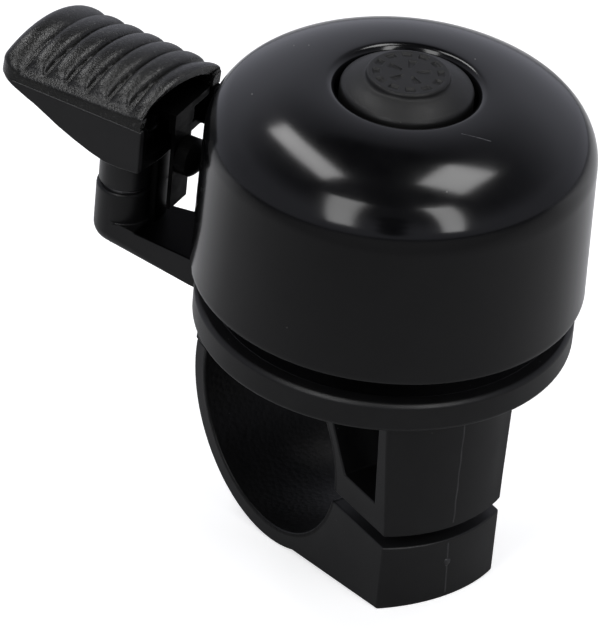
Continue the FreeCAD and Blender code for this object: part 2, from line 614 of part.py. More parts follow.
# ---------------------------------------------------------------- hammer
bracket = body("hammer_bracket")
shelf_low = d["shelf_top"] - d["shelf_thick"]
s = sketch(bracket, "shelf_sketch", "XY_Plane", (0, 0, shelf_low))
outline(s, [(d["shelf_inner"], -4.7), (3.6, -4.7), (3.6, -1.9), (1.9, 1.65), (d["shelf_inner"], 1.65)])
pad(bracket, "shelf", s, d["shelf_thick"])
s = sketch(bracket, "lip_sketch", "XY_Plane", (0, 0, d["leaf_top"] + 0.1))
outline(s, [(d["shelf_inner"], -1.9), (d["shelf_inner"] + 0.7, -1.9), (d["shelf_inner"] + 0.7, 1.65), (d["shelf_inner"], 1.65)])
pad(bracket, "lip", s, shelf_low - d["leaf_top"] - 0.1 + 0.1)
s = sketch(bracket, "shelf_holes_sketch", "XY_Plane", (0, 0, 35))
ring(s, 0, 0, d["pin_radius"] + 0.01, "p")
ring(s, 2.2, -3.3, 0.61, "r")
cut(bracket, "shelf_holes", s, 10)
lever_place(bracket)
NODES.append(bracket)

NODES.append(lathe("bracket_rivet", [
    (0, 28.0), (0.6, 28.0), (0.6, d["shelf_top"]), (1.1, d["shelf_top"]), (1.1, d["shelf_top"] + 0.25),
    (0.8, d["shelf_top"] + 0.5), (0, d["shelf_top"] + 0.5)], (2.2, 0, 0)))
lever_place(NODES[-1])
off = FreeCAD.Placement(V(0, -3.3, 0), FreeCAD.Rotation())
NODES[-1].setExpression("Placement.Base.x", None)
NODES[-1].setExpression("Placement.Base.y", None)
NODES[-1].Placement = swing.multiply(off)

leaf = body("hammer_leaf")
s = sketch(leaf, "leaf_sketch", "XY_Plane", (0, 0, d["leaf_low"]))
outline(s, [(d["shelf_inner"] + 0.1, -1.9), (d["shelf_inner"] + 0.1 + d["leaf_thick"], -1.9),
            (d["shelf_inner"] + 0.1 + d["leaf_thick"], 1.3), (d["shelf_inner"] + 0.1, 1.3)])
pad(leaf, "leaf", s, d["leaf_top"] - d["leaf_low"])
s = sketch(leaf, "leaf_hole_sketch", "YZ_Plane", (d["hammer_y"], d["hammer_z"], 0))
ring(s, 0, 0, 0.46)
cut(leaf, "leaf_hole", s, 20, symmetric=True)
lever_place(leaf)
NODES.append(leaf)

head = body("hammer_head")
s = sketch(head, "head_sketch", "XY_Plane", (0, d["hammer_y"], d["hammer_z"]))
xf = d["shelf_inner"] + 0.1
face_r = (d["hammer_radius"] * d["hammer_radius"] + 1) / 2
outline(s, [(xf - 2.2, 0), (xf + d["leaf_thick"] + 0.25, 0), (xf + d["leaf_thick"] + 0.25, 0.5),
            (xf + d["leaf_thick"], 0.65), (xf + d["leaf_thick"], 0.45), (xf, 0.45),
            (xf, d["hammer_radius"]), (xf - 1.2, d["hammer_radius"], face_r)])
f = head.newObject("PartDesign::Revolution", "head_turned")
f.Profile = s
f.ReferenceAxis = (s, ["H_Axis"])
f.Angle = 360
head.Tip = f
doc.recompute()
lever_place(head)
NODES.append(head)

# ---------------------------------------------------------------- checks and export
doc.recompute()
bad = []
for o in doc.Objects:
    if any(w in o.State for w in ("Invalid", "Error")):
        bad.append("%s %s" % (o.Name, o.State))
for n in NODES:
    shp = n.Shape
    if shp.isNull() or not shp.isValid() or not shp.Solids:
        bad.append("%s has no valid shape" % n.Label)
if bad:
    raise RuntimeError("; ".join(bad))
os.makedirs("parts", exist_ok=True)
for n in NODES:
    n.Shape.exportStep("parts/%s.step" % n.Label)
    b = n.Shape.BoundBox
    print("%-16s solids %d volume %9.2f  x %7.2f %7.2f  y %7.2f %7.2f  z %7.2f %7.2f" % (
        n.Label, len(n.Shape.Solids), n.Shape.Volume, b.XMin, b.XMax, b.YMin, b.YMax, b.ZMin, b.ZMax))
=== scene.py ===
import math

import bmesh
import bpy
from mathutils import Matrix, Vector


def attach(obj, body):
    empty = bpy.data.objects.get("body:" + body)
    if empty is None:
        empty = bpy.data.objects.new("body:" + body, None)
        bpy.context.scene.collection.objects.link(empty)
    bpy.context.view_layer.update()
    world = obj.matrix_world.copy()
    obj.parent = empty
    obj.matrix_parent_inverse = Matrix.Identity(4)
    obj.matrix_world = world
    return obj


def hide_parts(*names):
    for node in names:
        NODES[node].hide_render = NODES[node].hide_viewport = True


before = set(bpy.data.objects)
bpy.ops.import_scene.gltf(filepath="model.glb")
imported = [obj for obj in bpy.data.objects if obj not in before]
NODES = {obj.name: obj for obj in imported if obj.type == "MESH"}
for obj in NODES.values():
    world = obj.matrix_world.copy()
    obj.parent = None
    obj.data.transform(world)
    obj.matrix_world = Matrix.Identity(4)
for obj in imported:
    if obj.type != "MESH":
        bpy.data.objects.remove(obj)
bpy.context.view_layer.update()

MM = 0.001

BELL_X = 7.2
CLAMP_X = 15.4
PIVOT = (-16.4, -13.95)
LEVER_TURN = math.radians(207.0)
LEVER_U = (math.cos(LEVER_TURN), math.sin(LEVER_TURN))


# ------------------------------------------------------------------ shader graphs
class Graph:
    def __init__(self, name):
        self.mat = bpy.data.materials.new(name)
        self.mat.use_nodes = True
        self.nt = self.mat.node_tree
        self.nt.nodes.clear()
        self.out = self.add("ShaderNodeOutputMaterial")
        self.bsdf = self.add("ShaderNodeBsdfPrincipled")
        self.join(self.bsdf, "BSDF", self.out, "Surface")
        self.coord = self.add("ShaderNodeTexCoord")

    def add(self, kind, **props):
        n = self.nt.nodes.new(kind)
        for k, v in props.items():
            setattr(n, k, v)
        return n

    def join(self, a, out, b, inp):
        self.nt.links.new(a.outputs[out], b.inputs[inp])

    def plug(self, socket, b, inp):
        self.nt.links.new(socket, b.inputs[inp])

    def noise(self, scale, detail=3.0, rough=0.55, stretch=None, offset=0.0):
        n = self.add("ShaderNodeTexNoise")
        n.inputs["Scale"].default_value = scale
        n.inputs["Detail"].default_value = detail
        n.inputs["Roughness"].default_value = rough
        m = self.add("ShaderNodeMapping")
        m.inputs["Location"].default_value = (offset, offset * 0.7, -offset * 0.4)
        if stretch:
            m.inputs["Scale"].default_value = stretch
        self.join(self.coord, "Object", m, "Vector")
        self.join(m, "Vector", n, "Vector")
        return n.outputs["Fac"]

    def ramp(self, socket, stops):
        n = self.add("ShaderNodeValToRGB")
        e = n.color_ramp.elements
        while len(e) < len(stops):
            e.new(0.5)
        for el, (p, c) in zip(e, stops):
            el.position = p
            el.color = (c[0], c[1], c[2], 1.0) if isinstance(c, (tuple, list)) else (c, c, c, 1.0)
        self.plug(socket, n, "Fac")
        return n.outputs["Color"]

    def remap(self, socket, a0, a1, b0, b1, smooth=False):
        n = self.add("ShaderNodeMapRange")
        n.clamp = True
        if smooth:
            n.interpolation_type = "SMOOTHSTEP"
        for i, v in enumerate((a0, a1, b0, b1)):
            n.inputs[i + 1].default_value = v
        self.plug(socket, n, 0)
        return n.outputs[0]

    def math(self, op, a, b=None):
        n = self.add("ShaderNodeMath", operation=op)
        for i, v in enumerate((a, b)):
            if v is None:
                continue
            if isinstance(v, (int, float)):
                n.inputs[i].default_value = v
            else:
                self.plug(v, n, i)
        return n.outputs[0]

    def vec(self, op, a, b=None, out="Vector"):
        n = self.add("ShaderNodeVectorMath", operation=op)
        for i, v in enumerate((a, b)):
            if v is None:
                continue
            if isinstance(v, (tuple, list)):
                n.inputs[i].default_value = v
            else:
                self.plug(v, n, i)
        return n.outputs[out]

    def mix(self, fac, a, b):
        n = self.add("ShaderNodeMix", data_type="RGBA")
        if isinstance(fac, (int, float)):
            n.inputs[0].default_value = fac
        else:
            self.plug(fac, n, 0)
        for i, v in ((6, a), (7, b)):
            if isinstance(v, (tuple, list)):
                n.inputs[i].default_value = (v[0], v[1], v[2], 1.0)
            else:
                self.plug(v, n, i)
        return n.outputs[2]

    def bump(self, height, strength, distance, normal=None):
        n = self.add("ShaderNodeBump")
        n.inputs["Strength"].default_value = strength
        n.inputs["Distance"].default_value = distance
        self.plug(height, n, "Height")
        if normal is not None:
            self.plug(normal, n, "Normal")
        return n.outputs["Normal"]

    def specks(self, scale, size, share, offset=0.0):
        """Sparse dust: 1 inside a speck, 0 elsewhere."""
        m = self.add("ShaderNodeMapping")
        m.inputs["Location"].default_value = (offset, offset * 1.3, offset * 0.6)
        self.join(self.coord, "Object", m, "Vector")
        v = self.add("ShaderNodeTexVoronoi")
        v.inputs["Scale"].default_value = scale
        self.join(m, "Vector", v, "Vector")
        s = self.add("ShaderNodeSeparateColor")
        self.join(v, "Color", s, "Color")
        near = self.remap(v.outputs["Distance"], size, size * 0.55, 0.0, 1.0)
        some = self.math("LESS_THAN", s.outputs["Red"], share)
        return self.math("MULTIPLY", near, some)

    def socket(self, name, value):
        self.bsdf.inputs[name].default_value = value


def plastic(name, dark, light, rough, grain=9000.0, grain_depth=0.012, ripple=0.02, spread=0.08,
            spec=0.5, dust=0.03, offset=0.0, edge=None, painted_sparkle=0.0, bore=False, painted_shade_zone=None):
    """Moulded black plastic: mottled colour, uneven gloss, a fine spark-eroded grain and a little dust; on request also
    painted glints as pale flecks, painted shade darkening the colour inside the clamp's bore, and painted shade in a
    zone behind the pivot.
    """
    g = Graph(name)
    mottle = g.noise(420.0, 4.0, 0.6, offset=offset)
    fine = g.noise(grain, 2.0, 0.6, offset=offset + 0.3)
    broad = g.noise(140.0, 2.0, 0.5, offset=offset + 0.9)
    col = g.ramp(mottle, [(0.3, dark), (0.72, light)])
    dusty = g.specks(1400.0, 0.085, dust, offset)
    col = g.mix(g.math("MULTIPLY", dusty, 0.55), col, (0.28, 0.28, 0.27))
    if painted_sparkle:
        # painted glints: pale flecks mixed into the base colour stand in for the grain's sparkling highlights
        painted_glint = g.remap(g.noise(grain * 0.55, 1.0, 0.5, offset=offset + 2.0), 0.62, 0.72, 0.0, painted_sparkle)
        col = g.mix(painted_glint, col, (0.16, 0.16, 0.15))
    g.plug(col, g.bsdf, "Base Color")
    r = g.math("ADD", g.remap(broad, 0.3, 0.7, rough - spread * 0.6, rough + spread * 0.6),
               g.remap(fine, 0.3, 0.7, -spread * 0.5, spread * 0.5))
    g.plug(g.math("ADD", r, g.math("MULTIPLY", dusty, 0.3)), g.bsdf, "Roughness")
    g.socket("Specular IOR Level", spec)
    start = None
    if edge:
        b = g.add("ShaderNodeBevel", samples=6)
        b.inputs["Radius"].default_value = edge
        start = b.outputs["Normal"]
    n = g.bump(broad, 0.6, ripple * MM, start)
    n = g.bump(fine, 0.8, grain_depth * MM, n)
    if bore:
        # leathery cells pressed into the clamp's bore, plus painted shade: the colour inside the bore is darkened
        # towards near black and its specular lowered
        flat = g.vec("MULTIPLY", g.coord.outputs["Object"], (1.0, 0.0, 1.0))
        away = g.math("ABSOLUTE", g.math("SUBTRACT", g.vec("LENGTH", flat, None, "Value"), 0.0112))
        inside = g.remap(away, 0.00025, 0.0004, 1.0, 0.0)
        v = g.add("ShaderNodeTexVoronoi")
        v.inputs["Scale"].default_value = 2100.0
        g.join(g.coord, "Object", v, "Vector")
        cell = g.math("MULTIPLY", g.math("MULTIPLY", v.outputs["Distance"], inside), 1.0)
        n = g.bump(cell, 0.6, 0.035 * MM, n)
        # painted shade: darker colour inside the bore
        col = g.mix(g.math("MULTIPLY", inside, 0.75), col, (0.0022, 0.0022, 0.0022))
        shade = col
        g.plug(shade, g.bsdf, "Base Color")
        g.plug(g.remap(inside, 0.0, 1.0, spec, spec * 0.45), g.bsdf, "Specular IOR Level")
    if painted_shade_zone:
        # painted shade: near-black, matt colour with almost no specular on the faces deep behind the pivot, where local
        # x is below a limit and inside a width
        rel = g.vec("SUBTRACT", g.coord.outputs["Object"], (PIVOT[0] * MM, PIVOT[1] * MM, 0.0))
        u = g.vec("DOT_PRODUCT", rel, (LEVER_U[0], LEVER_U[1], 0.0), "Value")
        v = g.vec("DOT_PRODUCT", rel, (-LEVER_U[1], LEVER_U[0], 0.0), "Value")
        sep = g.add("ShaderNodeSeparateXYZ")
        g.plug(rel, sep, "Vector")
        m = g.remap(u, painted_shade_zone[0] * MM, (painted_shade_zone[0] - 0.4) * MM, 0.0, 1.0)
        m = g.math("MULTIPLY", m, g.remap(v, (painted_shade_zone[1] + 0.1) * MM, (painted_shade_zone[1] - 0.1) * MM, 0.0, 1.0))
        m = g.math("MULTIPLY", m, g.remap(sep.outputs["Z"], (painted_shade_zone[2] - 0.1) * MM, painted_shade_zone[2] * MM, 0.0, 1.0))
        m = g.math("MULTIPLY", m, g.remap(u, -9.6 * MM, -9.2 * MM, 0.0, 1.0))
        g.plug(g.mix(m, col, (0.0009, 0.0009, 0.0009)), g.bsdf, "Base Color")
        base_spec = g.remap(m, 0.0, 1.0, spec, 0.03)
        if bore:
            base_spec = g.math("MULTIPLY", base_spec, g.remap(inside, 0.0, 1.0, 1.0, 0.55))
        g.plug(base_spec, g.bsdf, "Specular IOR Level")
    g.plug(n, g.bsdf, "Normal")
    return g.mat


def enamel(name, scratch=None):
    """High-gloss black enamel with slight orange peel, haze, dust and one light scratch."""
    g = Graph(name)
    haze = g.noise(260.0, 5.0, 0.65)
    col = g.ramp(haze, [(0.25, (0.0022, 0.0022, 0.0026)), (0.75, (0.0038, 0.0038, 0.0043))])
    dusty = g.specks(950.0, 0.07, 0.05, 0.2)
    col = g.mix(g.math("MULTIPLY", dusty, 0.75), col, (0.35, 0.35, 0.34))
    rough = g.remap(haze, 0.3, 0.7, 0.125, 0.16)
    if scratch:
        a, b = (Vector(p) * MM for p in scratch)
        ab = b - a
        rel = g.vec("SUBTRACT", g.coord.outputs["Object"], tuple(a))
        t = g.math("DIVIDE", g.vec("DOT_PRODUCT", rel, tuple(ab), "Value"), ab.length_squared)
        tc = g.math("MINIMUM", g.math("MAXIMUM", t, 0.0), 1.0)
        s = g.add("ShaderNodeVectorMath", operation="SCALE")
        s.inputs[0].default_value = tuple(ab)
        g.plug(tc, s, "Scale")
        gap = g.vec("LENGTH", g.vec("SUBTRACT", rel, s.outputs["Vector"]), None, "Value")
        wav = g.remap(g.noise(900.0, 3.0), 0.3, 0.7, 0.02 * MM, 0.075 * MM)
        line = g.math("LESS_THAN", gap, wav)
        line = g.math("MULTIPLY", line, g.remap(g.noise(1500.0, 2.0, offset=1.0), 0.35, 0.6, 0.25, 1.0))
        col = g.mix(g.math("MULTIPLY", line, 0.5), col, (0.12, 0.12, 0.13))
        rough = g.math("ADD", rough, g.math("MULTIPLY", line, 0.4))
    g.plug(col, g.bsdf, "Base Color")
    g.plug(g.math("ADD", rough, g.math("MULTIPLY", dusty, 0.5)), g.bsdf, "Roughness")
    g.socket("IOR", 1.5)
    n = g.bump(g.noise(700.0, 1.0, 0.4, offset=0.5), 0.25, 0.004 * MM)
    n = g.bump(g.noise(120.0, 2.0, 0.4, offset=1.5), 0.3, 0.02 * MM, n)
    n = g.bump(dusty, 0.6, 0.02 * MM, n)
    g.plug(n, g.bsdf, "Normal")
    return g.mat


def metal(name, tint, dark, rough, brush=(1.0, 1.0, 14.0), edge=0.00006, offset=0.0):
    """Plated or turned metal: brushed streaks, blotchy stains and softened edges."""
    g = Graph(name)
    streak = g.noise(1600.0, 3.0, 0.6, brush, offset)
    stain = g.noise(380.0, 5.0, 0.65, None, offset + 1.0)
    col = g.ramp(stain, [(0.3, dark), (0.62, tint)])
    g.plug(col, g.bsdf, "Base Color")
    g.socket("Metallic", 1.0)
    g.plug(g.math("ADD", g.remap(streak, 0.3, 0.7, rough - 0.07, rough + 0.07),
                  g.remap(stain, 0.35, 0.6, 0.14, 0.0)), g.bsdf, "Roughness")
    b = g.add("ShaderNodeBevel", samples=6)
    b.inputs["Radius"].default_value = edge
    n = g.bump(streak, 0.35, 0.006 * MM, b.outputs["Normal"])
    n = g.bump(g.noise(5200.0, 2.0, offset=offset), 0.35, 0.004 * MM, n)
    g.plug(n, g.bsdf, "Normal")
    return g.mat


M_DOME = enamel("enamel_black", ((16.05, -0.1, 40.22), (17.9, 1.86, 39.92)))
# painted shade: the arm's top face behind the pivot and the inside of the clamp's bore are darkened in the colour
M_BODY = plastic("moulded_black", (0.0034, 0.0034, 0.0037), (0.0062, 0.0062, 0.0065), 0.40, dust=0.07, spec=0.46, bore=True,
                 painted_shade_zone=(-2.6, 9.0, 16.75))
# painted shade darkens the colour inside the clamp's bore
M_STRAP = plastic("moulded_black_strap", (0.0034, 0.0034, 0.0037), (0.0062, 0.0062, 0.0065), 0.40, dust=0.07, spec=0.52, offset=0.013,
                  bore=True)
M_FLASH = plastic("mould_flash", (0.020, 0.020, 0.021), (0.060, 0.060, 0.062), 0.36, dust=0.10, spec=0.6, offset=0.017)
M_CAP = plastic("cap_matte_black", (0.0042, 0.0042, 0.0042), (0.0080, 0.0080, 0.0078), 0.48, grain=7500.0,
                grain_depth=0.02, dust=0.04, spec=0.42, offset=0.021)
# painted shade: the lever's hollow inside and guard wall behind the pivot are darkened in the colour
M_LEVER = plastic("lever_satin_black", (0.0056, 0.0056, 0.0060), (0.0098, 0.0098, 0.0104), 0.34, dust=0.05, spec=0.6, offset=0.034,
                  painted_shade_zone=(-2.7, 5.6, 10.0))
# painted glints as pale flecks on the grip
M_PAD = plastic("grip_grained_black", (0.0062, 0.0062, 0.0059), (0.0118, 0.0118, 0.0110), 0.30, grain=5200.0,
                grain_depth=0.05, spread=0.12, dust=0.06, spec=0.54, offset=0.047, painted_sparkle=0.2)
M_RUBBER = plastic("cushion_rubber", (0.010, 0.010, 0.010), (0.022, 0.022, 0.021), 0.75, grain=5200.0,
                   grain_depth=0.03, dust=0.06, spec=0.3, offset=0.055, edge=0.0001)
M_BUSH = plastic("acetal_natural", (0.55, 0.53, 0.48), (0.70, 0.69, 0.65), 0.35, dust=0.02, spec=0.5, offset=0.061, edge=0.00006)
M_STEEL = metal("steel_zinc", (0.60, 0.60, 0.61), (0.36, 0.36, 0.37), 0.34)
M_SCREW = metal("steel_screw_dull", (0.66, 0.66, 0.67), (0.36, 0.36, 0.36), 0.30, brush=(1, 1, 3), offset=0.02)
M_DARKSTEEL = metal("steel_black_oxide", (0.007, 0.007, 0.007), (0.003, 0.003, 0.003), 0.55, offset=0.05)
M_BRASS = metal("brass_turned", (0.78, 0.56, 0.25), (0.45, 0.30, 0.12), 0.3, brush=(1, 1, 9), offset=0.08)


# ------------------------------------------------------------------ mesh helpers
def make_object(name, verts, faces, mat, smooth=True):
    me = bpy.data.meshes.new(name)
    me.from_pydata([tuple(v) for v in verts], [], faces)
    me.validate()
    me.update()
    ob = bpy.data.objects.new(name, me)
    bpy.context.scene.collection.objects.link(ob)
    me.materials.append(mat)
    if smooth:
        for p in me.polygons:
            p.use_smooth = True
    return ob


def arc(cx, cz, r, a0, a1, n):
    return [(cx + r * math.cos(math.radians(a0 + (a1 - a0) * i / n)),
             cz + r * math.sin(math.radians(a0 + (a1 - a0) * i / n))) for i in range(n + 1)]


def fillet(points, radii, steps=5):
    """A closed outline of (x, z) corners with each corner rounded by its radius."""
    out = []
    n = len(points)
    for i, p in enumerate(points):
        r = radii[i] if isinstance(radii, (list, tuple)) else radii
        a, b, c = Vector(points[i - 1]), Vector(p), Vector(points[(i + 1) % n])
        u, w = a - b, c - b
        if r <= 0 or u.length < 1e-9 or w.length < 1e-9:
            out.append((b.x, b.y))
            continue
        u.normalize()
        w.normalize()
        ang = u.angle(w)
        if ang > math.radians(176):
            out.append((b.x, b.y))
            continue
        cut = min(r / math.tan(ang / 2), (a - b).length * 0.48, (c - b).length * 0.48)
        p0, p1 = b + u * cut, b + w * cut
        for k in range(steps + 1):
            t = k / steps
            q = p0 * (1 - t) ** 2 + b * 2 * t * (1 - t) + p1 * t * t
            out.append((q.x, q.y))
    return out


def lathe(name, outline, centre, mat, segs=192, lift=None):
    """Turns a closed outline of (r, z) in millimetres about a vertical axis. A run of points at r = 0 closes on the axis."""
    pts = list(outline)
    verts, rows = [], []
    for r, z in pts:
        if r < 1e-6:
            rows.append([len(verts)])
            verts.append(((centre[0]) * MM, centre[1] * MM, z * MM))
            continue
        row = []
        for k in range(segs):
            a = 2 * math.pi * k / segs
            zz = z + (lift(r, a, z) if lift else 0.0)
            row.append(len(verts))
            verts.append(((centre[0] + r * math.cos(a)) * MM, (centre[1] + r * math.sin(a)) * MM, zz * MM))
        rows.append(row)
    faces = []
    n = len(rows)
    for i in range(n):
        a, b = rows[i], rows[(i + 1) % n]
        if len(a) == 1 and len(b) == 1:
            continue
        for k in range(segs):
            k2 = (k + 1) % segs
            if len(a) == 1:
                faces.append((a[0], b[k2], b[k]))
            elif len(b) == 1:
                faces.append((a[k], a[k2], b[0]))
            else:
                faces.append((a[k], a[k2], b[k2], b[k]))
    ob = make_object(name, verts, faces, mat)
    tidy(ob)
    return ob


def tidy(ob):
    bm = bmesh.new()
    bm.from_mesh(ob.data)
    bmesh.ops.recalc_face_normals(bm, faces=bm.faces)
    bm.to_mesh(ob.data)
    bm.free()
    ob.data.update()


def rounded_copy(node, name, width, mat, segments=3, angle=30.0, merge=0.002, flat=0.4, pick=None):
    """A copy of a CAD node's mesh with its sharp edges rounded off by real faces."""
    src = NODES[node]
    bm = bmesh.new()
    bm.from_mesh(src.data)
    bmesh.ops.transform(bm, matrix=src.matrix_world, verts=bm.verts)
    bmesh.ops.remove_doubles(bm, verts=bm.verts, dist=merge * MM)
    bmesh.ops.dissolve_degenerate(bm, edges=bm.edges, dist=merge * MM)
    bmesh.ops.dissolve_limit(bm, angle_limit=math.radians(flat), verts=bm.verts, edges=bm.edges)
    sharp = [e for e in bm.edges if len(e.link_faces) == 2 and e.calc_face_angle(0.0) > math.radians(angle)
             and (pick is None or pick(e))]
    bmesh.ops.bevel(bm, geom=sharp, offset=width * MM, offset_type="OFFSET", segments=segments, profile=0.5,
                    affect="EDGES", clamp_overlap=False, loop_slide=True, miter_outer="SHARP", miter_inner="SHARP")
    bmesh.ops.remove_doubles(bm, verts=bm.verts, dist=0.0005 * MM)
    bmesh.ops.recalc_face_normals(bm, faces=bm.faces)
    me = bpy.data.meshes.new(name)
    clean = bmesh.new()
    made = {}
    for f in bm.faces:
        vs = []
        for v in f.verts:
            if v not in made:
                made[v] = clean.verts.new(v.co)
            vs.append(made[v])
        try:
            clean.faces.new(vs)
        except ValueError:
            pass
    clean.to_mesh(me)
    clean.free()
    bm.free()
    ob = bpy.data.objects.new(name, me)
    bpy.context.scene.collection.objects.link(ob)
    me.materials.append(mat)
    for p in me.polygons:
        p.use_smooth = True
    me.set_sharp_from_angle(angle=math.radians(42))
    w = ob.modifiers.new("weighted", "WEIGHTED_NORMAL")
    w.keep_sharp = True
    w.weight = 60
    return ob


def place(ob, body, slot, *nodes):
    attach(ob, body)
    if nodes:
        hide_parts(*nodes)
    return ob


def finish_node(name, mat):
    ob = NODES[name]
    ob.data.materials.clear()
    ob.data.materials.append(mat)


def ease_in(t):
    t = max(0.0, min(1.0, t))
    return t * t * (3 - 2 * t)


def lever_xy(x, y):
    c, s = LEVER_U
    return (PIVOT[0] + x * c - y * s, PIVOT[1] + x * s + y * c)


# ------------------------------------------------------------------ gong dome
A = 55.4
ca, sa = math.cos(math.radians(A)), math.sin(math.radians(A))
p1 = (18.23 - 5.03 + 5.03 * ca, 33.48 + 5.03 * sa)
lip_z = p1[1] + 15.0 * (1 - sa)
outer = [(18.5, 19.75 + 0.18), (18.49, 20.3)]
outer += [(18.5 - 0.27 * t, 19.75 + 13.73 * t) for t in (0.15, 0.3, 0.45, 0.6, 0.75, 0.9)]
outer += arc(13.2, 33.48, 5.03, 0, A, 30)
outer += arc(7.538, 25.273, 15.0, A, 90, 26)[1:]
outer += arc(7.54, lip_z - 0.9, 0.9, 90, 180, 12)[1:]
outer += [(6.64, 38.6), (6.64, 37.6)]
outer += arc(6.04, 37.0, 0.6, 0, -90, 6)
outer += [(5.0, 36.4), (3.2, 36.4), (1.95, 36.4), (1.82, 36.28), (1.8, 36.0), (1.8, 35.55), (1.9, 35.4), (3.4, 35.4), (5.0, 35.4)]
outer += arc(6.04, 37.0, 1.6, -90, 0, 8)
outer += [(7.64, 38.2), (7.64, lip_z - 1.1)]
outer += arc(7.538, 25.273, 14.0, 89, A, 22)
outer += arc(13.2, 33.48, 4.03, A, 0, 20)[1:]
outer += [(17.23 + 0.27 * t, 33.48 - 13.73 * t) for t in (0.2, 0.4, 0.6, 0.8)]
outer += [(17.5, 19.93), (17.55, 19.80), (17.68, 19.75), (18.32, 19.75), (18.45, 19.80)]
dome = lathe("gong_shell", outer, (BELL_X, 0), M_DOME, 288)
place(dome, "bell", "dome_paint", "gong_dome")


# ------------------------------------------------------------------ cap with a plain embossed disc
def cap_relief(r, a, z):
    if z < 41.0 or r > 3.75:
        return 0.0
    d = 0.0
    if 2.62 < r < 3.38:
        k = math.cos(a * 12 + 0.4)
        across = max(0.0, min(1.0, (k + 0.35) / 0.3))
        along = max(0.0, min(1.0, min(r - 2.62, 3.38 - r) / 0.16))
        d -= 0.2 * across * along
    if 0.7 < r < 2.1:
        k = math.cos(a * 5 + 0.9)
        across = max(0.0, min(1.0, (k - 0.45) / 0.25))
        along = max(0.0, min(1.0, min(r - 0.7, 2.1 - r) / 0.18))
        d -= 0.16 * across * along
    return d


cap = [(0.0, 41.70)]
cap += [(0.12 + 0.088 * i, 41.70 + 0.03 * math.sin(min(1.0, i / 40) * math.pi / 2)) for i in range(41)]
cap += [(3.72, 41.72), (3.80, 41.68), (3.87, 41.60), (3.90, 41.48), (3.92, 41.34), (3.98, 41.24), (4.08, 41.17)]
R_CAP = 6.0
chord = [(4.08, 41.17), (5.86, 40.36)]
mid = ((chord[0][0] + chord[1][0]) / 2, (chord[0][1] + chord[1][1]) / 2)
half = math.hypot(chord[1][0] - chord[0][0], chord[1][1] - chord[0][1]) / 2
nx, nz = (chord[1][1] - chord[0][1]), -(chord[1][0] - chord[0][0])
ln = math.hypot(nx, nz)
nx, nz = nx / ln, nz / ln
off = math.sqrt(R_CAP ** 2 - half ** 2)
cc = (mid[0] + nx * off, mid[1] + nz * off)
t0 = math.degrees(math.atan2(chord[0][1] - cc[1], chord[0][0] - cc[0]))
t1 = math.degrees(math.atan2(chord[1][1] - cc[1], chord[1][0] - cc[0]))
cap += arc(cc[0], cc[1], R_CAP, t0, t1, 12)[1:]
cap += [(6.02, 40.27), (6.13, 40.14), (6.20, 39.97), (6.22, 39.75), (6.23, 38.2), (6.23, 36.9), (5.98, 36.6), (5.4, 36.6),
        (5.4, 37.8), (5.4, 39.2), (3.5, 40.1), (3.5, 38.4), (2.85, 38.4), (2.85, 40.4), (0.0, 40.4)]
cap_ob = lathe("cap_button", cap, (BELL_X, 0), M_CAP, 312, cap_relief)
place(cap_ob, "bell", "cap_plastic", "dome_cap")


# ------------------------------------------------------------------ saddle, disc and arm moulding; strap; lever

def clear_of_ring(e):
    """Leaves out the edges where the lug, the arm and the saddle run into the ring's rounded lower edge."""
    m = (e.verts[0].co + e.verts[1].co) / 2 / MM
    return not (13.0 < m.z < 14.9 and math.hypot(m.x - BELL_X, m.y) > 12.5)


base = rounded_copy("base_plate", "saddle_moulding", 0.17, M_BODY, pick=clear_of_ring)

# the arm's near lower edge is rounded like the boss's foot, fading out towards the ring
cut_v, cut_f = [], []
N_CUT, N_ARC = 24, 8
for i in range(N_CUT + 1):
    x = 1.6 - 11.0 * i / N_CUT
    big = 1.45 * min(1.0, max(0.0, (x + 9.4) / 9.0)) + 0.02
    y0 = 2.77 - x * 1.3 / 13.5
    prof = [(y0 + 0.6, 13.3), (y0 + 0.6, 13.9 + big)]
    for k in range(N_ARC + 1):
        a = math.radians(90.0 * k / N_ARC)
        prof.append((y0 - big + big * math.cos(a), 13.9 + big - big * math.sin(a)))
    prof.append((y0 - big, 13.3))
    for y, z in prof:
        X, Y = lever_xy(x, y)
        cut_v.append((X * MM, Y * MM, z * MM))
M_CUT = N_ARC + 4
for i in range(N_CUT):
    for k in range(M_CUT):
        a, b = i * M_CUT + k, i * M_CUT + (k + 1) % M_CUT
        cut_f.append((a, b, b + M_CUT, a + M_CUT))
cut_f.append(tuple(range(M_CUT - 1, -1, -1)))
cut_f.append(tuple(N_CUT * M_CUT + k for k in range(M_CUT)))
trim = make_object("arm_edge_tool", cut_v, cut_f, M_BODY)
tidy(trim)
before = len(base.data.polygons)
wn = base.modifiers["weighted"]
base.modifiers.remove(wn)
bo = base.modifiers.new("arm_edge", "BOOLEAN")
bo.operation = "DIFFERENCE"
bo.solver = "EXACT"
bo.object = trim
bpy.context.view_layer.update()
dg = bpy.context.evaluated_depsgraph_get()
trimmed = bpy.data.meshes.new_from_object(base.evaluated_get(dg))
base.modifiers.clear()
if len(trimmed.polygons) > before * 0.8:
    old = base.data
    base.data = trimmed
    bpy.data.meshes.remove(old)
bpy.data.objects.remove(trim)
base.data.set_sharp_from_angle(angle=math.radians(38))
wn = base.modifiers.new("weighted", "WEIGHTED_NORMAL")
wn.keep_sharp = True
wn.weight = 60
place(base, "bell", "body_plastic", "base_plate")
strap = rounded_copy("clamp_strap", "strap_moulding", 0.2, M_STRAP)
place(strap, "strap", "body_plastic", "clamp_strap")


def clear_of_tip(e):
    """Leaves out the lever's thin upper tip, where the edges run closer together than the rounding is wide."""
    m = (e.verts[0].co + e.verts[1].co) / 2 / MM
    out = (m.x - PIVOT[0]) * LEVER_U[0] + (m.y - PIVOT[1]) * LEVER_U[1]
    return out < 7.6


lever = rounded_copy("lever_body", "lever_moulding", 0.22, M_LEVER, pick=clear_of_tip)
place(lever, "lever", "lever_plastic", "lever_body")


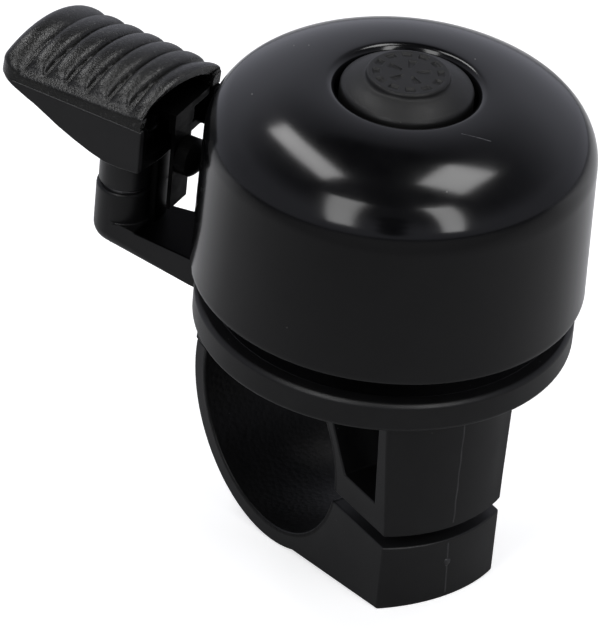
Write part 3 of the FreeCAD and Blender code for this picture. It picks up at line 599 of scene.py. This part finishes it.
# thin mould lines down the lug's front and the gate mark left by the runner
def ridge(name, pts, normal_of, width, height, mat):
    """A low rounded ridge along points given in millimetres, standing on a surface."""
    verts, faces = [], []
    n = len(pts)
    for i, p in enumerate(pts):
        p = Vector(p)
        t = (Vector(pts[min(i + 1, n - 1)]) - Vector(pts[max(i - 1, 0)])).normalized()
        nrm = Vector(normal_of(p)).normalized()
        side = t.cross(nrm).normalized()
        fade = min(1.0, min(i, n - 1 - i) / 2.0)
        for k in range(7):
            a = math.pi * k / 6
            verts.append((p + side * (width / 2 * math.cos(a)) + nrm * (height * fade * math.sin(a) - 0.03)) * MM)
    for i in range(n - 1):
        for k in range(6):
            a = i * 7 + k
            faces.append((a, a + 1, a + 8, a + 7))
        faces.append((i * 7 + 6, i * 7, i * 7 + 7, i * 7 + 13))
    faces.append(tuple(range(6, -1, -1)))
    faces.append(tuple((n - 1) * 7 + k for k in range(7)))
    ob = make_object(name, verts, faces, mat)
    tidy(ob)
    return ob


def lug_point(y, z, r=14.0):
    return (BELL_X + math.sqrt(r * r - y * y), y, z)


def lug_normal(p):
    return (p.x - BELL_X, p.y, 0.0)


line_a = ridge("lug_mould_line", [lug_point(0.03 * math.sin(z * 2.1), z) for z in [13.6 - 0.29 * i for i in range(50)]],
               lug_normal, 0.18, 0.07, M_FLASH)
place(line_a, "bell", "body_plastic")
line_b = ridge("strap_mould_line", [lug_point(-0.32 + 0.3 * i / 23, -2.35 - 0.28 * i) for i in range(24)],
               lug_normal, 0.18, 0.07, M_FLASH)
place(line_b, "strap", "body_plastic")

gate_v, gate_f = [], []
for i in range(7):
    a = math.pi / 2 * i / 6
    for k in range(20):
        b = 2 * math.pi * k / 20
        wob = 1.0 + 0.12 * math.sin(3 * b + 0.7)
        yy, zz = -0.2 + 0.36 * wob * math.cos(a) * math.cos(b), -4.9 + 0.44 * wob * math.cos(a) * math.sin(b)
        x0 = BELL_X + math.sqrt(196 - yy * yy)
        gate_v.append(Vector((x0 - 0.05 + 0.2 * math.sin(a), yy, zz)) * MM)
for i in range(6):
    for k in range(20):
        a, b = i * 20 + k, i * 20 + (k + 1) % 20
        gate_f.append((a, b, b + 20, a + 20))
gate_f.append(tuple(range(19, -1, -1)))
gate = make_object("strap_gate_mark", gate_v, gate_f, M_FLASH)
tidy(gate)
place(gate, "strap", "body_plastic")


# ------------------------------------------------------------------ ribbed thumb grip
SLOPE = math.radians(4.35)
P_INNER, P_TIP, SKEW = -5.25, 10.36, 0.135
H_INNER, H_TIP, R_TIP = 6.1, 6.7, 2.2
CROWN, SKIRT, DEPTH, PITCH, FIRST = 2.1, 1.75, 0.5, 2.2, 7.42
HALF = (H_INNER + H_TIP) / 2
CR = (HALF * HALF + CROWN * CROWN) / (2 * CROWN)
AXIS_Z = CROWN - CR
GROOVES = [FIRST - PITCH * k for k in range(6)]


def ease(t):
    t = max(0.0, min(1.0, t))
    return t * t * (3 - 2 * t)


def half_width(x):
    h = H_INNER + (H_TIP - H_INNER) * min(1.0, (x - P_INNER) / (P_TIP - R_TIP - P_INNER))
    if x > P_TIP - R_TIP:
        d = x - (P_TIP - R_TIP)
        h = H_TIP - R_TIP + math.sqrt(max(0.0, R_TIP * R_TIP - d * d))
    return h


def rib(x, w, h):
    """Height of the outer surface below the crown. The ribs narrow into rounded fingers towards the sides."""
    side = ease((abs(w) - 0.8) / (h - 1.6))
    end = max(0.0, min(1.0, (abs(w) - (h - 1.5)) / (0.95 if w > 0 else 1.6)))
    stand = math.sqrt(max(0.0, 1 - end ** 3.0))
    if x >= GROOVES[0]:
        top = P_TIP - 1.45
        lip = 0.16 * side if w > 0 else 0.05 * side
        if x < GROOVES[0] + lip:
            return -DEPTH
        if x < top:
            t = (x - GROOVES[0] - lip) / (top - GROOVES[0] - lip)
            return -DEPTH * max(0.0, 1 - math.sin(t * math.pi / 2) ** 0.62) - 0.04 * t
        t = min(1.0, (x - top) / (P_TIP - top))
        return -0.04 - 1.65 * (1 - math.sqrt(max(0.0, 1 - t ** 2.4)))
    if x <= GROOVES[-1]:
        t = (GROOVES[-1] - x) / (GROOVES[-1] - P_INNER)
        lip = 0.16 * side
        if t < lip:
            return -DEPTH
        t = (t - lip) / (1 - lip)
        return -DEPTH + (DEPTH - 0.1) * math.sin(min(1.0, t * 1.4) * math.pi / 2) ** 0.7 * (0.35 + 0.65 * stand) - 0.1 * max(0.0, t - 0.8) / 0.2
    for a, b in zip(GROOVES[1:], GROOVES[:-1]):
        if a <= x <= b:
            mid = (a + b) / 2 + (0.06 * side if w > 0 else 0.0)
            hw = PITCH / 2 - 0.04 - (0.17 if w > 0 else 0.05) * side
            d = abs(x - mid) / hw
            if d >= 1.0:
                return -DEPTH
            return -DEPTH + DEPTH * math.sqrt(1 - d ** 2.6) * stand
    return 0.0


stations = []
x = P_INNER
while x < P_TIP - R_TIP:
    stations.append(x)
    x += 0.1
stations += [P_TIP - R_TIP + R_TIP * math.sin(math.radians(a)) for a in range(0, 91, 3)]
ACROSS = 84
FIL = 0.34
DOWN = 5


def grip_section(x):
    """Points across the grip, from one skirt's foot over the crown to the other's, in the pad's own frame."""
    h = half_width(x)

    def z_at(w):
        rho = CR + rib(x, w, h)
        return AXIS_Z + math.sqrt(max(0.01, rho * rho - w * w))

    pts = []
    flat = h - FIL
    for k in range(ACROSS + 1):
        w = -flat + 2 * flat * k / ACROSS
        pts.append((w, z_at(w)))
    zc = z_at(h)
    left, right = [], []
    for k in range(1, 7):
        t = k / 6
        zz = z_at(flat)
        w = flat * (1 - t) ** 2 + h * 2 * t * (1 - t) + h * t * t
        z = zz * (1 - t) ** 2 + zc * 2 * t * (1 - t) + (zc - FIL) * t * t
        left.append((-w, z))
        right.append((w, z))
    low = zc - FIL
    down = [low + (-SKIRT - low) * k / DOWN for k in range(1, DOWN + 1)]
    pts = [(-h, z) for z in reversed(down)] + list(reversed(left)) + pts + right + [(h, z) for z in down]
    return pts


def pad_to_row(x, y, z):
    x += SKEW * y
    xx = x * math.cos(SLOPE) - z * math.sin(SLOPE)
    zz = x * math.sin(SLOPE) + z * math.cos(SLOPE) + 32.38
    X, Y = lever_xy(xx, y)
    return (X * MM, Y * MM, zz * MM)


verts, faces = [], []
count = None
for x in stations:
    sec = grip_section(x)
    count = len(sec)
    for w, z in sec:
        verts.append(pad_to_row(x, w, z))
rows = len(stations)
for i in range(rows - 1):
    for k in range(count - 1):
        a = i * count + k
        faces.append((a, a + 1, a + count + 1, a + count))
# front wall under the tip
last = grip_section(P_TIP)
prev = (rows - 1) * count
steps = DOWN
start = len(verts)
for j in range(1, steps + 1):
    for w, z in last:
        verts.append(pad_to_row(P_TIP, w, z + (-SKIRT - z) * j / steps))
for j in range(steps):
    top = prev if j == 0 else start + (j - 1) * count
    low = start + j * count
    for k in range(DOWN, count - 1 - DOWN):
        faces.append((top + k, top + k + 1, low + k + 1, low + k))
grip = make_object("thumb_grip", verts, faces, M_PAD)
bm = bmesh.new()
bm.from_mesh(grip.data)
bmesh.ops.remove_doubles(bm, verts=bm.verts, dist=0.0008 * MM)
bmesh.ops.dissolve_degenerate(bm, edges=bm.edges, dist=0.0006 * MM)
bmesh.ops.delete(bm, geom=[v for v in bm.verts if not v.link_faces], context="VERTS")
bmesh.ops.recalc_face_normals(bm, faces=bm.faces)
up_face = max(bm.faces, key=lambda f: f.calc_center_median().z)
if up_face.normal.z < 0:
    bmesh.ops.reverse_faces(bm, faces=bm.faces)
bm.to_mesh(grip.data)
bm.free()
sol = grip.modifiers.new("wall", "SOLIDIFY")
sol.thickness = 1.1 * MM
sol.offset = -1.0
sol.use_even_offset = False
for p in grip.data.polygons:
    p.use_smooth = True
bpy.context.view_layer.update()
shell = bpy.data.meshes.new_from_object(grip.evaluated_get(bpy.context.evaluated_depsgraph_get()))
outer_count = len(grip.data.vertices)
for v in shell.vertices:
    X, Y, Z = v.co.x / MM - PIVOT[0], v.co.y / MM - PIVOT[1], v.co.z / MM - 32.38
    xx, w = X * LEVER_U[0] + Y * LEVER_U[1], -X * LEVER_U[1] + Y * LEVER_U[0]
    x = xx * math.cos(SLOPE) + Z * math.sin(SLOPE)
    z = -xx * math.sin(SLOPE) + Z * math.cos(SLOPE)
    s = x - SKEW * w
    inset = 0.0 if v.index < outer_count else 0.9
    s = max(P_INNER, min(s, P_TIP - inset))
    lim = half_width(s) - inset
    w = max(-lim, min(lim, w))
    z = max(-SKIRT, min(z, CROWN))
    v.co = Vector(pad_to_row(s, w, z))
old = grip.data
grip.modifiers.clear()
grip.data = shell
bpy.data.meshes.remove(old)
for p in shell.polygons:
    p.use_smooth = True
shell.set_sharp_from_angle(angle=math.radians(50))
place(grip, "lever", "pad_plastic", "thumb_pad")


# ------------------------------------------------------------------ clamp screw with a coarse thread
def thread_mesh(name, centre, z0, z1, r_root, r_top, pitch, mat, segs=72):
    verts, faces = [], []
    dz = pitch / 16
    n = int((z1 - z0) / dz)
    for i in range(n + 1):
        z = z0 + (z1 - z0) * i / n
        for k in range(segs):
            a = 2 * math.pi * k / segs
            ph = (z / pitch - k / segs) % 1.0
            tri = abs(ph - 0.5) * 2
            h = max(0.0, min(1.0, (tri - 0.18) / 0.62))
            h = h * h * (3 - 2 * h)
            end = min(1.0, max(0.0, (z1 - z) / 1.2))
            r = (r_root + (r_top - r_root) * h * min(1.0, end * 1.6)) * (0.45 + 0.55 * math.sqrt(end)) if z > z1 - 1.2 else r_root + (r_top - r_root) * h
            verts.append(((centre[0] + r * math.cos(a)) * MM, (centre[1] + r * math.sin(a)) * MM, z * MM))
    for i in range(n):
        for k in range(segs):
            a, b = i * segs + k, i * segs + (k + 1) % segs
            faces.append((a, b, b + segs, a + segs))
    faces.append(tuple(range(segs - 1, -1, -1)))
    faces.append(tuple(n * segs + k for k in range(segs)))
    return verts, faces


tv, tf = thread_mesh("thread", (CLAMP_X, 0), -7.4, 9.9, 1.55, 2.1, 1.6, M_SCREW)
head = fillet([(0.0, -9.5), (2.6, -9.5), (3.5, -8.6), (3.5, -7.55), (0.0, -7.55)], [0, 0.5, 0.6, 0.2, 0], 5)
head_ob = lathe("screw_head", head, (CLAMP_X, 0), M_SCREW, 96)
cross_v, cross_f = [], []
cross = [(-0.45, -2.1), (0.45, -2.1), (0.45, -0.45), (2.1, -0.45), (2.1, 0.45), (0.45, 0.45),
         (0.45, 2.1), (-0.45, 2.1), (-0.45, 0.45), (-2.1, 0.45), (-2.1, -0.45), (-0.45, -0.45)]
for zz, k in ((-10.2, 1.06), (-8.2, 0.62)):
    for x, y in cross:
        cross_v.append(((CLAMP_X + x * k) * MM, y * k * MM, zz * MM))
cross_f.append(tuple(range(11, -1, -1)))
cross_f.append(tuple(range(12, 24)))
for k in range(12):
    cross_f.append((k, (k + 1) % 12, 12 + (k + 1) % 12, 12 + k))
cutter = make_object("screw_cross_tool", cross_v, cross_f, M_SCREW, False)
tidy(cutter)
bo = head_ob.modifiers.new("cross", "BOOLEAN")
bo.operation = "DIFFERENCE"
bo.solver = "EXACT"
bo.object = cutter
bpy.context.view_layer.update()
dg = bpy.context.evaluated_depsgraph_get()
cut_mesh = bpy.data.meshes.new_from_object(head_ob.evaluated_get(dg))
base_n = len(tv)
for v in cut_mesh.vertices:
    tv.append(tuple(v.co))
for p in cut_mesh.polygons:
    tf.append(tuple(base_n + i for i in p.vertices))
bpy.data.objects.remove(head_ob)
bpy.data.objects.remove(cutter)
bpy.data.meshes.remove(cut_mesh)
screw = make_object("clamp_screw_threaded", tv, tf, M_SCREW)
screw.data.set_sharp_from_angle(angle=math.radians(40))
place(screw, "screw", "steel", "clamp_screw")


# ------------------------------------------------------------------ pieces that keep their CAD shape
finish_node("lower_cushion", M_RUBBER)
finish_node("upper_cushion", M_RUBBER)
finish_node("dome_washer", M_STEEL)
finish_node("dome_screw", M_STEEL)
finish_node("post_insert", M_BRASS)
finish_node("clamp_washer", M_STEEL)
finish_node("pivot_bush", M_BUSH)
finish_node("pivot_washer", M_STEEL)
finish_node("pivot_pin", M_DARKSTEEL)
finish_node("pivot_clip", M_DARKSTEEL)
finish_node("lever_spring", M_STEEL)
finish_node("hammer_bracket", M_DARKSTEEL)
finish_node("bracket_rivet", M_DARKSTEEL)
finish_node("hammer_leaf", M_DARKSTEEL)
finish_node("hammer_head", M_DARKSTEEL)


# ------------------------------------------------------------------ floor
FLOOR_N = Vector((-0.1959, 0.0, 0.9806)).normalized()
floor_me = bpy.data.meshes.new("floor")
RADIUS = 3.0
ring_v = []
t_x = FLOOR_N.cross(Vector((0, 1, 0))).normalized()
t_y = FLOOR_N.cross(t_x).normalized()
origin = FLOOR_N * (-12.985 * MM)
for k in range(96):
    a = 2 * math.pi * k / 96
    ring_v.append(origin + t_x * RADIUS * math.cos(a) + t_y * RADIUS * math.sin(a))
floor_me.from_pydata([tuple(v) for v in ring_v], [], [tuple(range(96))])
floor_me.update()
floor = bpy.data.objects.new("floor", floor_me)
bpy.context.scene.collection.objects.link(floor)
if floor_me.polygons[0].normal.dot(FLOOR_N) < 0:
    floor_me.flip_normals()


def floor_material():
    g = Graph("floor_pale")
    paper = g.noise(9.0, 3.0, 0.5)
    col = g.ramp(paper, [(0.3, (0.80, 0.80, 0.80)), (0.7, (0.84, 0.84, 0.84))])
    g.plug(col, g.bsdf, "Base Color")
    g.socket("Roughness", 0.85)
    g.socket("Specular IOR Level", 0.1)
    # what the object sees of the floor is dimmer towards its front, as inside a light tent
    dim = g.add("ShaderNodeBsdfDiffuse")
    s = g.add("ShaderNodeSeparateXYZ")
    g.join(g.coord, "Object", s, "Vector")
    along = g.math("ADD", g.math("MULTIPLY", s.outputs["X"], 0.80), g.math("MULTIPLY", s.outputs["Y"], -0.60))
    g.plug(g.ramp(g.remap(along, -0.08, 0.10, 0.0, 1.0), [(0.0, 1.0), (0.42, 0.46), (1.0, 0.22)]), dim, "Color")
    seen = g.add("ShaderNodeEmission")
    seen.inputs["Strength"].default_value = 0.62
    both = g.add("ShaderNodeAddShader")
    g.nt.links.new(g.bsdf.outputs[0], both.inputs[0])
    g.nt.links.new(seen.outputs[0], both.inputs[1])
    lp = g.add("ShaderNodeLightPath")
    sel = g.add("ShaderNodeMixShader")
    g.plug(lp.outputs["Is Camera Ray"], sel, 0)
    g.nt.links.new(dim.outputs[0], sel.inputs[1])
    g.nt.links.new(both.outputs[0], sel.inputs[2])
    g.nt.links.new(sel.outputs[0], g.out.inputs["Surface"])
    return g.mat


floor_me.materials.append(floor_material())


# ------------------------------------------------------------------ studio: a pale tent with two light banks each side
def direction(az, el):
    a, e = math.radians(az), math.radians(el)
    return Vector((math.cos(e) * math.cos(a), math.cos(e) * math.sin(a), math.sin(e)))


def build_world():
    w = bpy.data.worlds.new("tent")
    bpy.context.scene.world = w
    w.use_nodes = True
    nt = w.node_tree
    nt.nodes.clear()
    out = nt.nodes.new("ShaderNodeOutputWorld")
    co = nt.nodes.new("ShaderNodeTexCoord")

    def dot_with(v):
        n = nt.nodes.new("ShaderNodeVectorMath")
        n.operation = "DOT_PRODUCT"
        n.inputs[1].default_value = tuple(v)
        nt.links.new(co.outputs["Generated"], n.inputs[0])
        return n.outputs["Value"]

    def rng(sock, a0, a1, b0, b1):
        n = nt.nodes.new("ShaderNodeMapRange")
        n.interpolation_type = "SMOOTHSTEP"
        for i, v in enumerate((a0, a1, b0, b1)):
            n.inputs[i + 1].default_value = v
        nt.links.new(sock, n.inputs[0])
        return n.outputs[0]

    def op(kind, a, b):
        n = nt.nodes.new("ShaderNodeMath")
        n.operation = kind
        for i, v in enumerate((a, b)):
            if isinstance(v, (int, float)):
                n.inputs[i].default_value = v
            else:
                nt.links.new(v, n.inputs[i])
        return n.outputs[0]

    level = rng(dot_with(direction(143, 5)), 0.1, 0.95, 0.31, 0.56)
    level = op("MULTIPLY", level, rng(dot_with((0.0, 0.0, 1.0)), 0.40, 0.86, 1.0, 0.22))
    for az, el, r0, r1, dark in ((156, 67, 10, 18, 0.01), (-38, 22, 5, 10, 0.06), (-38, 33, 5.5, 10, 0.04), (-38, 45, 5, 10, 0.04), (-60, 88, 6, 20, 0.35)):
        hole = rng(dot_with(direction(az, el)), math.cos(math.radians(r1)), math.cos(math.radians(r0)), 1.0, dark)
        level = op("MULTIPLY", level, hole)
    tent = nt.nodes.new("ShaderNodeBackground")
    tent.inputs["Color"].default_value = (0.95, 0.965, 1.09, 1.0)
    nt.links.new(level, tent.inputs["Strength"])
    seen = nt.nodes.new("ShaderNodeBackground")
    seen.inputs["Strength"].default_value = 1.0
    lp = nt.nodes.new("ShaderNodeLightPath")
    sel = nt.nodes.new("ShaderNodeMixShader")
    nt.links.new(lp.outputs["Is Camera Ray"], sel.inputs[0])
    nt.links.new(tent.outputs[0], sel.inputs[1])
    nt.links.new(seen.outputs[0], sel.inputs[2])
    nt.links.new(sel.outputs[0], out.inputs["Surface"])


build_world()
AIM = Vector((7.2, 0.0, 34.0)) * MM
DIST = 0.6


def bank(name, d0, d1, width_deg, radiance):
    """A rectangular light bank that spans from direction d0 to d1 as seen from the gong."""
    a, b = AIM + direction(*d0) * DIST, AIM + direction(*d1) * DIST
    c = (a + b) / 2
    y = (b - a).normalized()
    z = (c - AIM).normalized()
    x = y.cross(z).normalized()
    z = x.cross(y).normalized()
    li = bpy.data.lights.new(name, "AREA")
    li.shape = "RECTANGLE"
    li.size = 2 * (c - AIM).length * math.tan(math.radians(width_deg / 2))
    li.size_y = (b - a).length
    li.energy = radiance * math.pi * li.size * li.size_y
    ob = bpy.data.objects.new(name, li)
    ob.matrix_world = Matrix(((x.x, y.x, z.x, c.x), (x.y, y.y, z.y, c.y), (x.z, y.z, z.z, c.z), (0, 0, 0, 1)))
    bpy.context.scene.collection.objects.link(ob)
    ob.visible_camera = False
    return ob


bank("bank_left_front", (-67, 18), (-89, 68), 15, 4.2)
bank("bank_right_front", (-3, 22), (14, 71), 12, 4.8)
bank("bank_left_back", (-176, 44), (-136, 70), 9, 6.2)
bank("bank_right_back", (100, 62), (62, 76), 16, 6.0)


# ------------------------------------------------------------------ camera
FW = Vector((-0.65599, 0.49674, -0.56827)).normalized()
RT = FW.cross(Vector((0, 0, 1))).normalized()
UP = RT.cross(FW).normalized()
ROLL = math.radians(5.596)
R2 = RT * math.cos(ROLL) + UP * math.sin(ROLL)
U2 = UP * math.cos(ROLL) - RT * math.sin(ROLL)
POS = Vector((395.917, -303.973, 353.812)) * MM
cam_data = bpy.data.cameras.new("camera")
cam_data.lens = 6388.809 * 36.0 / 642.0
cam_data.sensor_width = 36.0
cam_data.clip_start = 0.01
cam_data.clip_end = 20.0
cam = bpy.data.objects.new("camera", cam_data)
cam.matrix_world = Matrix(((R2.x, U2.x, -FW.x, POS.x), (R2.y, U2.y, -FW.y, POS.y), (R2.z, U2.z, -FW.z, POS.z), (0, 0, 0, 1)))
bpy.context.scene.collection.objects.link(cam)
bpy.context.scene.camera = cam
bpy.context.scene.view_settings.view_transform = "Standard"
bpy.context.scene.view_settings.look = "None"
